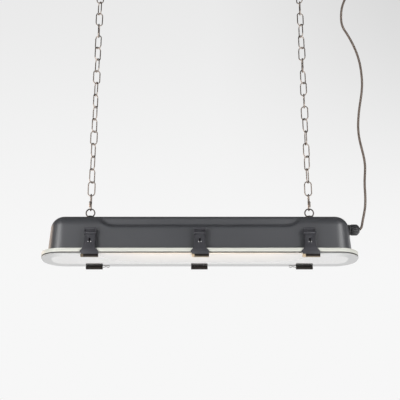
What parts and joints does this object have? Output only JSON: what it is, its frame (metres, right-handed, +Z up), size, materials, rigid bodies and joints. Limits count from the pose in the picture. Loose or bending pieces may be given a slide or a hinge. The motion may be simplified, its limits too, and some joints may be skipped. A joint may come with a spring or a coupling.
{
  "type": "linear pendant light",
  "caption": "Long pressed-steel pendant light with a stepped domed top, cream rubber rim, frosted glass plate held by spring latches, two chains, a cable gland and a loose textile cord.",
  "frame": {"origin": "on the ceiling plane, midway between the two hooks, at the centre of the four hook-plate screw holes", "axes": "+X along the lamp towards the end with the cord, +Y away from the front in the picture, +Z up"},
  "size_m": [0.758, 0.1168, 0.73],
  "materials": {
    "grey_paint": "satin dark grey powder coat",
    "latch_paint": "satin dark grey powder coat",
    "rose_paint": "satin dark grey powder coat",
    "black_paint": "satin black",
    "rim_rubber": "smooth matt cream",
    "pad_rubber": "smooth dark brown",
    "frosted_glass": "polished, frosted white on the inside",
    "chain_steel": "nickel plated, slightly dull",
    "zinc_steel": "bright zinc plated",
    "black_nylon": "fine matt black",
    "black_rubber": "matt black",
    "cord_textile": "braided taupe brown textile",
    "white_metal": "gloss white",
    "white_plastic": "smooth white",
    "tube_phosphor": "white coated",
    "cap_aluminium": "satin",
    "brass": "turned brass",
    "lead_insulation": "smooth"
  },
  "bodies": {
    "ceiling": {"left_hook_plate": "black_paint", "right_hook_plate": "black_paint", "left_ceiling_hook": "black_paint", "right_ceiling_hook": "black_paint", "rose_base": "black_paint", "rose_cover": "rose_paint", "rose_screws": "black_paint", "rose_terminal_block": "white_plastic", "rose_cord_grip": "black_nylon"},
    "right_top_link": {"right_top_link": "chain_steel", "cord_upper": "cord_textile"},
    "left_top_link": {"left_top_link": "chain_steel"},
    "right_chain": {"right_chain_links": "chain_steel", "right_quick_link": "chain_steel", "right_quick_nut": "chain_steel"},
    "left_chain": {"left_chain_links": "chain_steel", "left_quick_link": "chain_steel", "left_quick_nut": "chain_steel"},
    "lamp": {"housing": "grey_paint", "rim_seal": "rim_rubber", "glass": "frosted_glass", "left_eye_bolt": "chain_steel", "right_eye_bolt": "chain_steel", "eye_washers": "zinc_steel", "eye_nuts": "zinc_steel", "latch_brackets": "latch_paint", "bracket_rivets": "latch_paint", "latch_pins": "latch_paint", "gear_tray": "white_metal", "tray_posts": "zinc_steel", "tray_screws": "zinc_steel", "left_lampholder": "white_plastic", "right_lampholder": "white_plastic", "lamp_tube": "tube_phosphor", "tube_caps": "cap_aluminium", "driver": "white_plastic", "driver_screws": "zinc_steel", "terminal_block": "white_plastic", "earth_stud": "brass", "gland_washers": "black_rubber", "gland_body": "black_nylon", "gland_locknut": "black_nylon", "gland_seal": "black_rubber", "gland_nut": "black_nylon", "supply_tail": "cord_textile", "inner_leads": "lead_insulation", "cord_lower": "cord_textile"},
    "front_left_latch": {"front_left_lever": "latch_paint", "front_left_pad": "pad_rubber"},
    "front_middle_latch": {"front_middle_lever": "latch_paint", "front_middle_pad": "pad_rubber"},
    "front_right_latch": {"front_right_lever": "latch_paint", "front_right_pad": "pad_rubber"},
    "rear_left_latch": {"rear_left_lever": "latch_paint", "rear_left_pad": "pad_rubber", "rear_left_wire": "zinc_steel"},
    "rear_middle_latch": {"rear_middle_lever": "latch_paint", "rear_middle_pad": "pad_rubber"},
    "rear_right_latch": {"rear_right_lever": "latch_paint", "rear_right_pad": "pad_rubber", "rear_right_wire": "zinc_steel"}
  },
  "joints": [
    {"name": "fore_aft_swing", "type": "hinge", "parent": "ceiling", "child": "right_top_link", "pos_m": [0.2475, 0, -0.03155], "axis": [1, 0, 0], "range_deg": [-20, 20]},
    {"name": "left_fore_aft_swing", "type": "hinge", "parent": "ceiling", "child": "left_top_link", "pos_m": [-0.2475, 0, -0.03155], "axis": [1, 0, 0], "range_deg": [-20, 20]},
    {"name": "side_swing", "type": "hinge", "parent": "right_top_link", "child": "right_chain", "pos_m": [0.2475, 0, -0.06325], "axis": [0, 1, 0], "range_deg": [-15, 15], "deforming": ["cord_upper", "cord_lower"]},
    {"name": "left_side_swing", "type": "hinge", "parent": "left_top_link", "child": "left_chain", "pos_m": [-0.2475, 0, -0.06325], "axis": [0, 1, 0], "range_deg": [-15, 15]},
    {"name": "lamp_level", "type": "hinge", "parent": "right_chain", "child": "lamp", "pos_m": [0.2475, 0, -0.60495], "axis": [0, 1, 0], "range_deg": [-15, 15]},
    {"name": "front_left_release", "type": "hinge", "parent": "lamp", "child": "front_left_latch", "pos_m": [-0.2395, -0.05, -0.674], "axis": [-1, 0, 0], "range_deg": [0, 70]},
    {"name": "front_middle_release", "type": "hinge", "parent": "lamp", "child": "front_middle_latch", "pos_m": [0, -0.05, -0.674], "axis": [-1, 0, 0], "range_deg": [0, 70]},
    {"name": "front_right_release", "type": "hinge", "parent": "lamp", "child": "front_right_latch", "pos_m": [0.2395, -0.05, -0.674], "axis": [-1, 0, 0], "range_deg": [0, 70]},
    {"name": "rear_left_release", "type": "hinge", "parent": "lamp", "child": "rear_left_latch", "pos_m": [-0.2395, 0.05, -0.674], "axis": [1, 0, 0], "range_deg": [0, 70]},
    {"name": "rear_middle_release", "type": "hinge", "parent": "lamp", "child": "rear_middle_latch", "pos_m": [0, 0.05, -0.674], "axis": [1, 0, 0], "range_deg": [0, 70]},
    {"name": "rear_right_release", "type": "hinge", "parent": "lamp", "child": "rear_right_latch", "pos_m": [0.2395, 0.05, -0.674], "axis": [1, 0, 0], "range_deg": [0, 70]}
  ],
  "couplings": [
    {"joint": "left_fore_aft_swing", "follows": "fore_aft_swing", "ratio": 1},
    {"joint": "left_side_swing", "follows": "side_swing", "ratio": 1},
    {"joint": "lamp_level", "follows": "side_swing", "ratio": -1}
  ]
}
